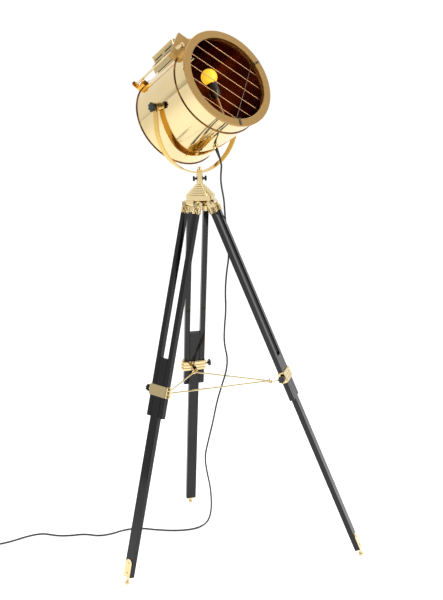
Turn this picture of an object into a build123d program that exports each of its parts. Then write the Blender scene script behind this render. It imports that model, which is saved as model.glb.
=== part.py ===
from build123d import *
import os
from itertools import product
from math import cos, pi, radians, sin, tan

# Tripod floor lamp with a searchlight head: brass fittings, black wooden legs.
# Millimetres, +Z up. The origin is on the floor under the middle of the whole lamp.

# ---- driving dimensions -------------------------------------------------------------
HUB_X, HUB_Y = -104.0, -27.0          # the post's axis on the floor
PIN_HEIGHT = 1200.0                   # leg pins above the floor
PIN_RADIUS = 38.8                     # leg pins from the post's axis
PIN_R = 4.0
LEG_AZIMUTH = {"right": -16.5, "left": -136.5, "back": 103.5}
LEG_SPLAY = {"right": 21.8, "left": 16.5, "back": 14.3}

ROD_SPACING = 54.7                    # centre to centre of a leg's two rods
ROD_WIDTH, ROD_DEPTH = 18.0, 17.0
ROD_TOP, ROD_END = 15.0, 698.0        # along the leg, from its pin
CORE_LENGTH = 720.0                   # sliding lower leg
CORE_PLAY = 0.35
CORE_END_HEIGHT = 25.35               # middle of the core's lower end above the floor
CLAMP_TOP = {"right": 598.0, "left": 594.0, "back": 604.0}
CLAMP_HEIGHT = 36.0
CLAMP_WALL = 3.0

HEAD_HEIGHT = 1513.6                  # tilt axis above the floor
HEAD_PAN, HEAD_TILT = -50.5, 27.4     # where the head points, in degrees
DRUM_R, DRUM_WALL = 153.5, 1.5
DRUM_BACK, DRUM_FRONT = -118.0, 168.0
BEAD_BACK, BEAD_FRONT, BEAD_R = -115.0, 109.0, 2.2
RING_OUTER_R, RING_INNER_R, RING_THICKNESS = 160.5, 136.0, 6.0
LINER_R = 144.0
YOKE_R, YOKE_WALL, YOKE_WIDTH = 168.2, 4.0, 20.0
YOKE_DROP = 48.6                      # straight part of each arm below the tilt axis

CORD_R = 3.0
COIL_R, COIL_WIDTH, COIL_BOTTOM, COIL_TOP = 33.0, 19.4, 0.6, 12.8
COIL_X, COIL_Y = -966.0, -24.0

CLEAR = 0.3                           # gap between pieces that move past each other
RUNNING = 0.05                        # radial play of a shaft in its hole

os.makedirs("parts", exist_ok=True)


def save(name, label):
    name.part.label = label
    export_step(name.part, f"parts/{label}.step")


# ---- frames -------------------------------------------------------------------------
def leg_plane(leg):
    """Origin on the leg's pin, z down the leg, x along the pin, y out of the leg's face."""
    azimuth, splay = radians(LEG_AZIMUTH[leg]), radians(LEG_SPLAY[leg])
    pin = Vector(
        HUB_X + PIN_RADIUS * cos(azimuth), HUB_Y + PIN_RADIUS * sin(azimuth), PIN_HEIGHT
    )
    down = Vector(cos(azimuth) * sin(splay), sin(azimuth) * sin(splay), -cos(splay))
    return Plane(origin=pin, x_dir=(-sin(azimuth), cos(azimuth), 0), z_dir=down)


LEG = {leg: leg_plane(leg) for leg in LEG_AZIMUTH}
CORE_END = {
    leg: (PIN_HEIGHT - CORE_END_HEIGHT) / cos(radians(LEG_SPLAY[leg])) for leg in LEG
}

PAN, TILT = radians(HEAD_PAN), radians(HEAD_TILT)
HEAD = Vector(HUB_X, HUB_Y, HEAD_HEIGHT)
AIM = Vector(cos(TILT) * cos(PAN), cos(TILT) * sin(PAN), sin(TILT))
LEVEL = Vector(cos(PAN), sin(PAN), 0)             # the same, brought level
FAR = Vector(-sin(PAN), cos(PAN), 0)              # along the tilt axis
DRUM = Plane(origin=HEAD, x_dir=FAR, z_dir=AIM)   # y is the drum's top
SIDE = Plane(origin=HEAD, x_dir=FAR, z_dir=-DRUM.y_dir)  # y is the drum's axis
YOKE = Plane(origin=HEAD, x_dir=FAR, z_dir=LEVEL)  # y is straight up
AXLE = Plane(origin=HEAD, x_dir=LEVEL, z_dir=FAR)  # z is the tilt axis
POST = Plane(origin=(HUB_X, HUB_Y, 0), x_dir=(1, 0, 0), z_dir=(0, -1, 0))  # y is up
DRUM_AXIS = Axis(HEAD, AIM)
POST_AXIS = Axis((HUB_X, HUB_Y, 0), (0, 0, 1))


def on(plane, x, y, z=0.0):
    """A point given in a plane's own directions, as a point of the whole lamp."""
    return plane.origin + plane.x_dir * x + plane.y_dir * y + plane.z_dir * z


def drum_plane(polar, along):
    """On the drum's axis, `along` from the tilt axis: y is radially out at that angle."""
    a = radians(polar)
    tangent = DRUM.x_dir * sin(a) - DRUM.y_dir * cos(a)
    return Plane(origin=on(DRUM, 0, 0, along), x_dir=tangent, z_dir=AIM)


def radial_plane(polar, along, radius):
    """z is radially out of the drum, x along the drum's axis."""
    a = radians(polar)
    out = DRUM.x_dir * cos(a) + DRUM.y_dir * sin(a)
    return Plane(origin=on(DRUM, 0, 0, along) + out * radius, x_dir=AIM, z_dir=out)


def peg(start, end, radius):
    """A private round bar between two points, to add to or cut from a piece."""
    axis = end - start
    return Plane(origin=start, z_dir=axis) * Cylinder(
        radius, axis.length, align=(Align.CENTER, Align.CENTER, Align.MIN), mode=Mode.PRIVATE
    )


def drum_core(radius, length=700.0):
    """A private cylinder on the drum's axis."""
    return DRUM * Cylinder(radius, length, mode=Mode.PRIVATE)


# ---- tripod: hub, dome and neck -------------------------------------------------------
DISC_BOTTOM, DISC_TOP, DISC_R = 1211.0, 1221.8, 47.0
TONGUE_HALF, TONGUE_R, TONGUE_BOTTOM = 17.0, 10.0, 1190.0
STUD_R = 6.0

with BuildPart() as hub_casting:
    with BuildSketch(Plane((HUB_X, HUB_Y, DISC_BOTTOM))):
        Circle(DISC_R)
    extrude(amount=DISC_TOP - DISC_BOTTOM)
    for leg in LEG:
        azimuth = radians(LEG_AZIMUTH[leg])
        across = (-sin(azimuth), cos(azimuth), 0)
        upright = Plane(
            origin=(HUB_X, HUB_Y, PIN_HEIGHT), x_dir=(cos(azimuth), sin(azimuth), 0),
            z_dir=(sin(azimuth), -cos(azimuth), 0),
        )
        with BuildSketch(upright):
            with Locations((PIN_RADIUS / 2, (DISC_BOTTOM + TONGUE_BOTTOM) / 2 - PIN_HEIGHT)):
                Rectangle(PIN_RADIUS, DISC_BOTTOM - TONGUE_BOTTOM)
            with Locations((PIN_RADIUS, 0)):
                Circle(TONGUE_R)
            with Locations((PIN_RADIUS, (DISC_BOTTOM - PIN_HEIGHT) / 2)):
                Rectangle(2 * TONGUE_R, DISC_BOTTOM - PIN_HEIGHT)
            with Locations((PIN_RADIUS, 0)):
                Circle(PIN_R, mode=Mode.SUBTRACT)
        extrude(amount=TONGUE_HALF, both=True)
    for leg in LEG:
        bore = peg(on(LEG[leg], -60, 0), on(LEG[leg], 60, 0), PIN_R)
        add(bore, mode=Mode.SUBTRACT)
    with BuildSketch(Plane((HUB_X, HUB_Y, TONGUE_BOTTOM - 5))):
        Circle(STUD_R)
    extrude(amount=60, mode=Mode.SUBTRACT)
    with BuildSketch(Plane((HUB_X, HUB_Y, TONGUE_BOTTOM - 5))):
        Circle(12)
    extrude(amount=DISC_BOTTOM - TONGUE_BOTTOM + 5, mode=Mode.SUBTRACT)
save(hub_casting, "hub_casting")

DOME_STEPS, DOME_TOP, DOME_TOP_R, DOME_BASE_R = 6, 1259.7, 17.3, 47.7
step_height = (DOME_TOP - DISC_TOP) / DOME_STEPS
step_width = (DOME_BASE_R - DOME_TOP_R) / (DOME_STEPS - 1)
with BuildPart() as ribbed_dome:
    with BuildSketch(POST):
        for i in range(DOME_STEPS):
            ring_r = DOME_BASE_R - i * step_width
            with Locations((0, DISC_TOP + i * step_height)):
                Rectangle(ring_r, step_height, align=(Align.MIN, Align.MIN))
        with BuildLine():
            Polyline((0, DISC_TOP), (DOME_BASE_R - 7, DISC_TOP), (8, DOME_TOP - 7),
                     (0, DOME_TOP - 7), close=True)
        make_face(mode=Mode.SUBTRACT)
        with Locations((0, DISC_TOP)):
            Rectangle(STUD_R, 60, align=(Align.MIN, Align.MIN), mode=Mode.SUBTRACT)
    revolve(axis=POST_AXIS)
save(ribbed_dome, "ribbed_dome")

NECK_R, NECK_BORE, NECK_TOP = 10.7, 8.0, 1290.6
KNOB_STEM_R, NECK_KNOB_HEIGHT = 2.5, 1278.0
with BuildPart() as neck_tube:
    with BuildSketch(POST):
        with Locations((0, DOME_TOP)):
            Rectangle(NECK_R, NECK_TOP - DOME_TOP, align=(Align.MIN, Align.MIN))
        with Locations((0, DISC_BOTTOM - 8)):
            Rectangle(STUD_R, DOME_TOP - DISC_BOTTOM + 8, align=(Align.MIN, Align.MIN))
        with Locations((0, DISC_BOTTOM - 8)):
            Rectangle(9, 8, align=(Align.MIN, Align.MIN))
        with Locations((0, DOME_TOP + 2)):
            Rectangle(NECK_BORE, 40, align=(Align.MIN, Align.MIN), mode=Mode.SUBTRACT)
    revolve(axis=POST_AXIS)
    neck_hole = peg(Vector(HUB_X - 20, HUB_Y, NECK_KNOB_HEIGHT),
                    Vector(HUB_X + 20, HUB_Y, NECK_KNOB_HEIGHT), KNOB_STEM_R)
    add(neck_hole, mode=Mode.SUBTRACT)
save(neck_tube, "neck_tube")

# ---- star knobs -----------------------------------------------------------------------
def star_knob(plane, radius, thickness, collar, stem_r, stem, hole=0.0):
    """Seven-lobed knob on `plane` (z out of the lamp), with a collar and a screw behind it."""
    with BuildPart() as knob:
        with BuildSketch(plane.offset(collar)):
            Circle(radius * 0.78)
            with PolarLocations(radius * 0.76, 7):
                Circle(radius * 0.24)
        extrude(amount=thickness)
        outer = knob.faces().sort_by(Axis(plane.origin, plane.z_dir))[-1].edges()
        fillet(outer, radius * 0.09)
        with BuildSketch(plane):
            Circle(radius * 0.45)
        extrude(amount=collar)
        if stem:
            with BuildSketch(plane):
                Circle(stem_r)
            extrude(amount=-stem)
        if hole:
            with BuildSketch(plane.offset(-1)):
                Circle(hole)
            extrude(amount=collar + thickness * 0.8, mode=Mode.SUBTRACT)
    return knob


for label, side in (("neck_knob_left", -1), ("neck_knob_right", 1)):
    place = Plane(
        origin=(HUB_X + side * (NECK_R + CLEAR), HUB_Y, NECK_KNOB_HEIGHT), z_dir=(side, 0, 0)
    )
    reach = NECK_R - NECK_BORE + CLEAR
    save(star_knob(place, 8.5, 6.5, 5.0, KNOB_STEM_R - RUNNING, reach), label)

# ---- leg bolts, ferrules, rods, clamps --------------------------------------------------
EYE_HALF, EYE_R, FERRULE_TOP, FERRULE_END, FERRULE_R = 8.0, 9.0, 13.0, 32.0, 14.0
BOLT_HALF = ROD_SPACING / 2 + EYE_HALF
HEX_R, HEX_HEIGHT = 7.5, 5.0

with BuildPart() as leg_bolts:
    for leg in LEG:
        across = Plane(origin=LEG[leg].origin, x_dir=LEG[leg].z_dir, z_dir=LEG[leg].x_dir)
        with BuildSketch(across.offset(-BOLT_HALF - HEX_HEIGHT)):
            Circle(PIN_R)
        extrude(amount=2 * BOLT_HALF + HEX_HEIGHT)
        with BuildSketch(across.offset(BOLT_HALF)):
            RegularPolygon(HEX_R, 6)
        extrude(amount=HEX_HEIGHT)
        with BuildSketch(across.offset(-BOLT_HALF - HEX_HEIGHT)):
            RegularPolygon(HEX_R, 6)
            Circle(PIN_R + RUNNING, mode=Mode.SUBTRACT)
        extrude(amount=HEX_HEIGHT)
save(leg_bolts, "leg_bolts")

BAND_X = ROD_SPACING + ROD_WIDTH + 0.4           # inside of the clamp band
BAND_Y = ROD_DEPTH + 0.6
RIB_WALL, RIB_HEIGHT = 1.6, 7.0
BOSS_R, BOSS_OUT = 7.0, 8.0
LUG_Y, LUG_L, LUG_R = -27.0, 31.0, 6.5           # strut lug: inwards, and down the band

STRUT_R = 2.5
LUG = {leg: on(LEG[leg], 0, LUG_Y, CLAMP_TOP[leg] + LUG_L) for leg in ("left", "back")}
STRUT_DIRECTION = (LUG["back"] - LUG["left"]).normalized()
RING_REACH = 62.0
RING_R, RING_WIRE = 9.0, 1.5
HOOK_R = 2.2
HOOK_BEND = on(LEG["right"], 0, -RING_REACH, CLAMP_TOP["right"] + 28)
RING_CENTRE = HOOK_BEND + Vector(0, 0, 8.4)         # lying on the hook's shank

with BuildPart() as ferrules:
    for leg, x in product(LEG, (-ROD_SPACING / 2, ROD_SPACING / 2)):
        frame = LEG[leg]
        with BuildPart(mode=Mode.PRIVATE) as ferrule:
            with BuildSketch(frame.offset(FERRULE_TOP)):
                with Locations((x, 0)):
                    Circle(FERRULE_R)
                    with PolarLocations(FERRULE_R + 0.3, 16):
                        Circle(1.1, mode=Mode.SUBTRACT)
            extrude(amount=FERRULE_END - FERRULE_TOP)
            with BuildSketch(frame):
                with Locations((x, 0)):
                    Rectangle(2 * EYE_HALF, 2 * EYE_R)
            extrude(amount=FERRULE_TOP)
            across = Plane(origin=on(frame, x, 0), x_dir=frame.z_dir, z_dir=frame.x_dir)
            with BuildSketch(across):
                Circle(EYE_R)
            extrude(amount=EYE_HALF, both=True)
            with BuildSketch(across):
                Circle(PIN_R)
            extrude(amount=EYE_HALF + 1, both=True, mode=Mode.SUBTRACT)
            with BuildSketch(frame.offset(ROD_TOP)):
                with Locations((x, 0)):
                    Rectangle(ROD_WIDTH, ROD_DEPTH)
            extrude(amount=FERRULE_END, mode=Mode.SUBTRACT)
        add(ferrule.part)
save(ferrules, "ferrules")

for leg, frame in LEG.items():
    with BuildPart() as rods:
        with BuildSketch(frame.offset(ROD_TOP)):
            for x in (-ROD_SPACING / 2, ROD_SPACING / 2):
                with Locations((x, 0)):
                    Rectangle(ROD_WIDTH, ROD_DEPTH)
        extrude(amount=ROD_END - ROD_TOP)
        chamfer(rods.edges().filter_by(Axis(frame.origin, frame.z_dir)), 0.9)
    save(rods, f"rods_{leg}")

    top = CLAMP_TOP[leg]
    with BuildPart() as clamp:
        with BuildSketch(frame.offset(top)):
            RectangleRounded(BAND_X + 2 * CLAMP_WALL, BAND_Y + 2 * CLAMP_WALL, 2.5)
        extrude(amount=CLAMP_HEIGHT)
        for i in range(3):
            with BuildSketch(frame.offset(top + 2.5 + 12 * i)):
                wall = CLAMP_WALL + RIB_WALL
                RectangleRounded(BAND_X + 2 * wall, BAND_Y + 2 * wall, 3.5)
            extrude(amount=RIB_HEIGHT)
            with BuildSketch(frame.offset(top + 1.5 + 12 * i)):
                with Locations((BAND_X / 2 + CLAMP_WALL + 2.5, 0)):
                    Circle(5)
            extrude(amount=RIB_HEIGHT + 2)
        boss = Plane(
            origin=on(frame, -BAND_X / 2 - CLAMP_WALL, 0, top + CLAMP_HEIGHT / 2),
            x_dir=frame.z_dir, z_dir=-frame.x_dir,
        )
        with BuildSketch(boss):
            Circle(BOSS_R)
        extrude(amount=BOSS_OUT)
        if leg == "right":
            with BuildSketch(frame.offset(top + 22)):
                with Locations((0, -BAND_Y / 2 - CLAMP_WALL - 4)):
                    Rectangle(12, 10)
            extrude(amount=12)
        else:
            with BuildSketch(frame.offset(top + LUG_L - 5)):
                with Locations((0, LUG_Y / 2)):
                    Rectangle(2 * LUG_R, -LUG_Y)
            extrude(amount=10)
            add(peg(LUG[leg] - STRUT_DIRECTION * 8, LUG[leg] + STRUT_DIRECTION * 8, LUG_R))
            add(peg(LUG[leg] - STRUT_DIRECTION * 20, LUG[leg] + STRUT_DIRECTION * 20, STRUT_R),
                mode=Mode.SUBTRACT)
        with BuildSketch(frame.offset(top - 1)):
            Rectangle(BAND_X, BAND_Y)
        extrude(amount=CLAMP_HEIGHT + 2, mode=Mode.SUBTRACT)
        with BuildSketch(boss.offset(-6)):
            Circle(KNOB_STEM_R + 0.5)
        extrude(amount=30, mode=Mode.SUBTRACT)
    save(clamp, f"clamp_{leg}")

    place = boss.offset(BOSS_OUT + CLEAR)
    reach = BOSS_OUT + CLEAR + CLAMP_WALL
    save(star_knob(place, 12.0, 8.0, 5.0, KNOB_STEM_R + 0.5 - RUNNING, reach), f"clamp_knob_{leg}")

# ---- spreader struts ----------------------------------------------------------------------
EYE_OUTER, EYE_WIDTH, EYE_ALONG = 6.0, 6.0, 16.0
BALL_R, CHANNEL = 3.7, 0.4

with BuildPart() as strut_rear:
    add(peg(LUG["left"] - STRUT_DIRECTION * 10, LUG["back"] + STRUT_DIRECTION * 10, STRUT_R))
save(strut_rear, "strut_rear")

for label, lug, sign in (("strut_left", LUG["left"], 1), ("strut_back", LUG["back"], -1)):
    eye = lug + STRUT_DIRECTION * (sign * EYE_ALONG)
    toward = (RING_CENTRE - eye).normalized()
    ball = RING_CENTRE - toward * RING_R
    half = STRUT_DIRECTION * (EYE_WIDTH / 2)
    with BuildPart() as strut:
        add(peg(eye - half, eye + half, EYE_OUTER))
        add(peg(eye + toward * 4, ball, STRUT_R))
        add(Pos(*ball) * Sphere(BALL_R, mode=Mode.PRIVATE))
        add(peg(eye - half * 2, eye + half * 2, STRUT_R + RUNNING), mode=Mode.SUBTRACT)
        add(Pos(*RING_CENTRE) * Torus(RING_R, RING_WIRE + CHANNEL, mode=Mode.PRIVATE),
            mode=Mode.SUBTRACT)
    save(strut, label)

with BuildPart() as spreader_ring:
    add(Pos(*RING_CENTRE) * Torus(RING_R, RING_WIRE, mode=Mode.PRIVATE))
save(spreader_ring, "spreader_ring")

hook_root = on(LEG["right"], 0, -BAND_Y / 2 - CLAMP_WALL - 9, CLAMP_TOP["right"] + 28)
with BuildPart() as spreader_hook:
    with BuildLine():
        FilletPolyline(hook_root, HOOK_BEND, HOOK_BEND + Vector(0, 0, 20), radius=HOOK_R * 1.4)
    with BuildSketch(Plane(origin=hook_root, z_dir=HOOK_BEND - hook_root)):
        Circle(HOOK_R)
    sweep()
save(spreader_hook, "spreader_hook")

# ---- lower legs and feet --------------------------------------------------------------------
CORE_WIDTH = ROD_SPACING - ROD_WIDTH - 2 * CORE_PLAY
PLATE_WIDTH, PLATE_HEIGHT, PLATE_THICK = 30.0, 42.0, 2.0
BALL_FOOT_R, BALL_SINK = 8.0, 0.6

for leg, frame in LEG.items():
    end = CORE_END[leg]
    with BuildPart() as lower_leg:
        with BuildSketch(frame.offset(end - CORE_LENGTH)):
            Rectangle(CORE_WIDTH, ROD_DEPTH)
        extrude(amount=CORE_LENGTH)
        chamfer(lower_leg.edges().filter_by(Axis(frame.origin, frame.z_dir)), 0.9)
    save(lower_leg, f"lower_leg_{leg}")

    face = Plane(origin=on(frame, 0, ROD_DEPTH / 2, end), x_dir=frame.x_dir, z_dir=frame.y_dir)
    with BuildPart() as foot_plate:
        with BuildSketch(face):
            with Locations((0, PLATE_HEIGHT / 2)):
                Rectangle(PLATE_WIDTH, PLATE_HEIGHT)
            with Locations((0, PLATE_HEIGHT)):
                Circle(PLATE_WIDTH / 2)
        extrude(amount=PLATE_THICK)
        with BuildSketch(frame.offset(end)):
            with Locations((0, PLATE_THICK / 2)):
                Rectangle(PLATE_WIDTH, ROD_DEPTH + PLATE_THICK)
        extrude(amount=PLATE_THICK)
    save(foot_plate, f"foot_plate_{leg}")

    root = on(frame, 0, 2, end + PLATE_THICK)
    fall = (root.Z - BALL_FOOT_R + BALL_SINK) / -frame.z_dir.Z
    ball = root + frame.z_dir * fall
    with BuildPart() as foot_stud:
        add(peg(root, ball, 4.5))
        add(Pos(*ball) * Sphere(BALL_FOOT_R, mode=Mode.PRIVATE))
        add(Pos(ball.X, ball.Y, -10) * Box(40, 40, 20, mode=Mode.PRIVATE), mode=Mode.SUBTRACT)
    save(foot_stud, f"foot_stud_{leg}")
    print("foot", leg, [round(v, 2) for v in ball])

# ---- yoke -------------------------------------------------------------------------------------
YOKE_BOTTOM = HEAD_HEIGHT - YOKE_DROP - YOKE_R
ARM_TOP = 13.0
STUD_AXLE_R = 4.0
SPIGOT_TOP_R = 5.0

with BuildPart() as yoke_strap:
    with BuildSketch(YOKE):
        for r, mode in ((YOKE_R, Mode.ADD), (YOKE_R - YOKE_WALL, Mode.SUBTRACT)):
            with Locations((0, -YOKE_DROP)):
                Circle(r, mode=mode)
            with Locations((0, (ARM_TOP - YOKE_DROP) / 2)):
                Rectangle(2 * r, ARM_TOP + YOKE_DROP, mode=mode)
        with Locations((0, ARM_TOP + 100)):
            Rectangle(500, 200, mode=Mode.SUBTRACT)
    extrude(amount=YOKE_WIDTH / 2, both=True)
    ends = yoke_strap.edges().filter_by(Axis(HEAD, FAR)).group_by(Axis.Z)[-1]
    fillet(ends, YOKE_WIDTH / 2 - 0.2)
    with BuildSketch(AXLE.offset(-YOKE_R - 5)):
        Circle(STUD_AXLE_R + RUNNING)
    extrude(amount=2 * YOKE_R + 10, mode=Mode.SUBTRACT)
    with BuildSketch(Plane((HUB_X, HUB_Y, YOKE_BOTTOM - 5))):
        Circle(SPIGOT_TOP_R)
    extrude(amount=20, mode=Mode.SUBTRACT)
save(yoke_strap, "yoke_strap")

SPIGOT_BOTTOM = DOME_TOP + 4
with BuildPart() as yoke_spigot:
    with BuildSketch(POST):
        for r, low, high in (
            (NECK_BORE - RUNNING, SPIGOT_BOTTOM, NECK_TOP + CLEAR),
            (NECK_R, NECK_TOP + CLEAR, YOKE_BOTTOM),
            (SPIGOT_TOP_R, YOKE_BOTTOM, YOKE_BOTTOM + 12),
        ):
            with Locations((0, low)):
                Rectangle(r, high - low, align=(Align.MIN, Align.MIN))
    revolve(axis=POST_AXIS)
save(yoke_spigot, "yoke_spigot")

FINIAL_BASE = YOKE_BOTTOM + YOKE_WALL + CLEAR
with BuildPart() as finial_nut:
    with BuildSketch(POST):
        with BuildLine():
            Polyline((0, FINIAL_BASE), (9, FINIAL_BASE), (9, FINIAL_BASE + 3), (7, FINIAL_BASE + 5),
                     (5.8, FINIAL_BASE + 11), (2, FINIAL_BASE + 15), (0, FINIAL_BASE + 15),
                     close=True)
        make_face()
        with Locations((0, FINIAL_BASE)):
            Rectangle(SPIGOT_TOP_R, 8, align=(Align.MIN, Align.MIN), mode=Mode.SUBTRACT)
    revolve(axis=POST_AXIS)
save(finial_nut, "finial_nut")

# ---- lamp head ----------------------------------------------------------------------------------
GLAND_ALONG, GLAND_R = 14.0, 6.0
SCREW_ANGLES, SCREW_ALONG = (-76.0, 44.0, 164.0), 158.0
VENT_BACK, VENT_FRONT, VENT_HALF, VENT_TOP = -58.0, 62.0, 62.0, 195.0

with BuildPart() as drum_shell:
    with BuildSketch(SIDE):
        with Locations((DRUM_R - DRUM_WALL, DRUM_BACK)):
            Rectangle(DRUM_WALL, DRUM_FRONT - DRUM_BACK, align=(Align.MIN, Align.MIN))
        for bead in (BEAD_BACK, BEAD_FRONT):
            with Locations((DRUM_R + 0.5, bead)):
                Circle(BEAD_R)
        with Locations((0, DRUM_BACK - 10)):
            Rectangle(DRUM_R - DRUM_WALL, 400, align=(Align.MIN, Align.MIN), mode=Mode.SUBTRACT)
    revolve(axis=DRUM_AXIS)
    with BuildSketch(AXLE.offset(-DRUM_R - 5)):
        Circle(STUD_AXLE_R)
    extrude(amount=2 * DRUM_R + 10, mode=Mode.SUBTRACT)
    gland_out = on(DRUM, 0, -DRUM_R - 20, GLAND_ALONG)
    add(peg(on(DRUM, 0, -DRUM_R + 20, GLAND_ALONG), gland_out, GLAND_R), mode=Mode.SUBTRACT)
    for angle in SCREW_ANGLES:
        place = radial_plane(angle, SCREW_ALONG, DRUM_R - 10)
        add(peg(place.origin, place.origin + place.z_dir * 20, 2.5), mode=Mode.SUBTRACT)
    with BuildSketch(Plane(origin=on(DRUM, 0, 100, 0), x_dir=FAR, z_dir=DRUM.y_dir)):
        Rectangle(90, 90)
    extrude(amount=100, mode=Mode.SUBTRACT)
save(drum_shell, "drum_shell")

with BuildPart() as rear_cover:
    with BuildSketch(SIDE):
        with BuildLine():
            Polyline((0, -146), (60, -146), (110, -138), (140, -127), (151.8, -121),
                     (151.8, -104), (150.3, -104), (150.3, -120), (139.3, -125.5),
                     (109.6, -136.5), (60, -144.5), (0, -144.5), close=True)
        make_face()
    revolve(axis=DRUM_AXIS)
    with BuildSketch(DRUM.offset(-150)):
        with PolarLocations(80, 8):
            SlotOverall(34, 7, rotation=90)
    extrude(amount=30, mode=Mode.SUBTRACT)
save(rear_cover, "rear_cover")

with BuildPart() as front_ring:
    with BuildSketch(SIDE):
        with Locations((RING_INNER_R, DRUM_FRONT)):
            Rectangle(RING_OUTER_R - RING_INNER_R, RING_THICKNESS, align=(Align.MIN, Align.MIN))
        with Locations((150.2, DRUM_FRONT - 14)):
            Rectangle(1.6, 14, align=(Align.MIN, Align.MIN))
    revolve(axis=DRUM_AXIS)
    rim = front_ring.faces().sort_by(DRUM_AXIS)[-1].edges()
    fillet(rim, 1.2)
    for angle in SCREW_ANGLES:
        place = radial_plane(angle, SCREW_ALONG, DRUM_R - 10)
        add(peg(place.origin, place.origin + place.z_dir * 10, 2.5), mode=Mode.SUBTRACT)
save(front_ring, "front_ring")

LINER_BACK, LINER_FRONT, LINER_WALL = -95.0, 148.0, 1.0
with BuildPart() as inner_reflector:
    with BuildSketch(SIDE):
        with Locations((LINER_R - LINER_WALL, LINER_BACK)):
            Rectangle(LINER_WALL, LINER_FRONT - LINER_BACK, align=(Align.MIN, Align.MIN))
        with Locations((0, LINER_BACK)):
            Rectangle(LINER_R, 1.5, align=(Align.MIN, Align.MIN))
        with Locations((LINER_R - LINER_WALL, LINER_FRONT - 1.5)):
            Rectangle(152 - LINER_R + LINER_WALL - 0.2, 1.5, align=(Align.MIN, Align.MIN))
    revolve(axis=DRUM_AXIS)
    with BuildSketch(Plane(origin=on(DRUM, 0, 100, 0), x_dir=FAR, z_dir=DRUM.y_dir)):
        Rectangle(60, 80)
    extrude(amount=60, mode=Mode.SUBTRACT)
save(inner_reflector, "inner_reflector")

BULB_ALONG, BULB_UP, BULB_R = 95.0, 44.0, 25.5
UPRIGHT = Plane(origin=on(DRUM, 0, 0, BULB_ALONG), x_dir=FAR, z_dir=AIM)
BULB_AXIS = Axis(UPRIGHT.origin, UPRIGHT.y_dir)
with BuildPart() as lamp_bracket:
    with BuildSketch(UPRIGHT):
        with Locations((0, -142.25)):
            Rectangle(14, 3, align=(Align.MIN, Align.MIN))
            Rectangle(6, 114, align=(Align.MIN, Align.MIN))
    revolve(axis=BULB_AXIS)
save(lamp_bracket, "lamp_bracket")

HOLDER_BOTTOM, HOLDER_TOP, CAP_R = -27.8, 20.0, 13.2
with BuildPart() as lamp_holder:
    with BuildSketch(UPRIGHT):
        with BuildLine():
            Polyline((0, HOLDER_BOTTOM), (12, HOLDER_BOTTOM), (17, -20), (19, -8), (19, 16),
                     (17.5, HOLDER_TOP), (CAP_R + CLEAR, HOLDER_TOP), (CAP_R + CLEAR, -5),
                     (0, -5), close=True)
        make_face()
    revolve(axis=BULB_AXIS)
save(lamp_holder, "lamp_holder")

with BuildPart() as bulb:
    with BuildSketch(UPRIGHT):
        with Locations((0, -5)):
            Rectangle(CAP_R, 32, align=(Align.MIN, Align.MIN))
        with Locations((0, BULB_UP)):
            Circle(BULB_R)
        with Locations((0, 0)):
            Rectangle(200, 400, align=(Align.MAX, Align.CENTER), mode=Mode.SUBTRACT)
    revolve(axis=BULB_AXIS)
save(bulb, "bulb")

GRILLE_RING_R, GRILLE_ALONG, GRILLE_ANGLE = 146.5, 150.7, 141.0
GRILLE_ROD_R, GRILLE_PITCH = 1.3, 40.0
grille_plane = Plane(
    origin=on(DRUM, 0, 0, GRILLE_ALONG), z_dir=AIM,
    x_dir=DRUM.x_dir * cos(radians(GRILLE_ANGLE)) + DRUM.y_dir * sin(radians(GRILLE_ANGLE)),
)
# The bars are spot-welded inside the ring: separate solids in one piece.
with BuildPart() as grille:
    with BuildSketch(SIDE):
        with Locations((GRILLE_RING_R, GRILLE_ALONG)):
            Rectangle(5, 4)
    revolve(axis=DRUM_AXIS)
    for i in range(6):
        across = (i - 2.5) * GRILLE_PITCH
        half = ((GRILLE_RING_R - 2.55) ** 2 - (abs(across) + GRILLE_ROD_R) ** 2) ** 0.5
        add(peg(on(grille_plane, -half, across), on(grille_plane, half, across), GRILLE_ROD_R))
save(grille, "grille")

# One spring wire across the mouth, crimped into a clip over the ring's edge at each end.
WIRE_OFFSET, WIRE_R, WIRE_LIFT, CLIP_R = 72.4, 1.0, 4.6, 134.4
FRONT = DRUM_FRONT + RING_THICKNESS
with BuildPart() as cross_wire:
    half = ((CLIP_R + 0.8) ** 2 - WIRE_OFFSET**2) ** 0.5
    ends = [on(grille_plane, -WIRE_OFFSET, side * half, WIRE_LIFT) for side in (-1, 1)]
    add(peg(ends[0], ends[1], WIRE_R))
    for end in ends:
        axis_point = on(DRUM, 0, 0, GRILLE_ALONG + WIRE_LIFT)
        out = (end - axis_point).normalized()
        clip_side = Plane(origin=HEAD, x_dir=out, z_dir=out.cross(AIM))
        with BuildSketch(clip_side):
            with Locations((CLIP_R, FRONT)):
                Rectangle(RING_OUTER_R - CLIP_R - 2, 1.5, align=(Align.MIN, Align.MIN))
            with Locations((CLIP_R, GRILLE_ALONG + WIRE_LIFT - 2)):
                Rectangle(1.5, FRONT - GRILLE_ALONG - WIRE_LIFT + 3.5, align=(Align.MIN, Align.MIN))
        extrude(amount=3.5, both=True)
        rivet = HEAD + AIM * (FRONT + 1) + out * (RING_INNER_R + 12)
        add(peg(rivet, rivet + AIM * 2.5, 3.0))
save(cross_wire, "cross_wire")

with BuildPart() as ring_screws:
    for angle in SCREW_ANGLES:
        place = radial_plane(angle, SCREW_ALONG, 149.4)
        with BuildSketch(place):
            Circle(2.5)
        extrude(amount=4.2)
        with BuildSketch(place.offset(4.2)):
            Circle(5.0)
        extrude(amount=6.0)
        fillet(ring_screws.faces().sort_by(Axis(HEAD, place.z_dir))[-1].edges(), 2.5)
save(ring_screws, "ring_screws")

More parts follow.
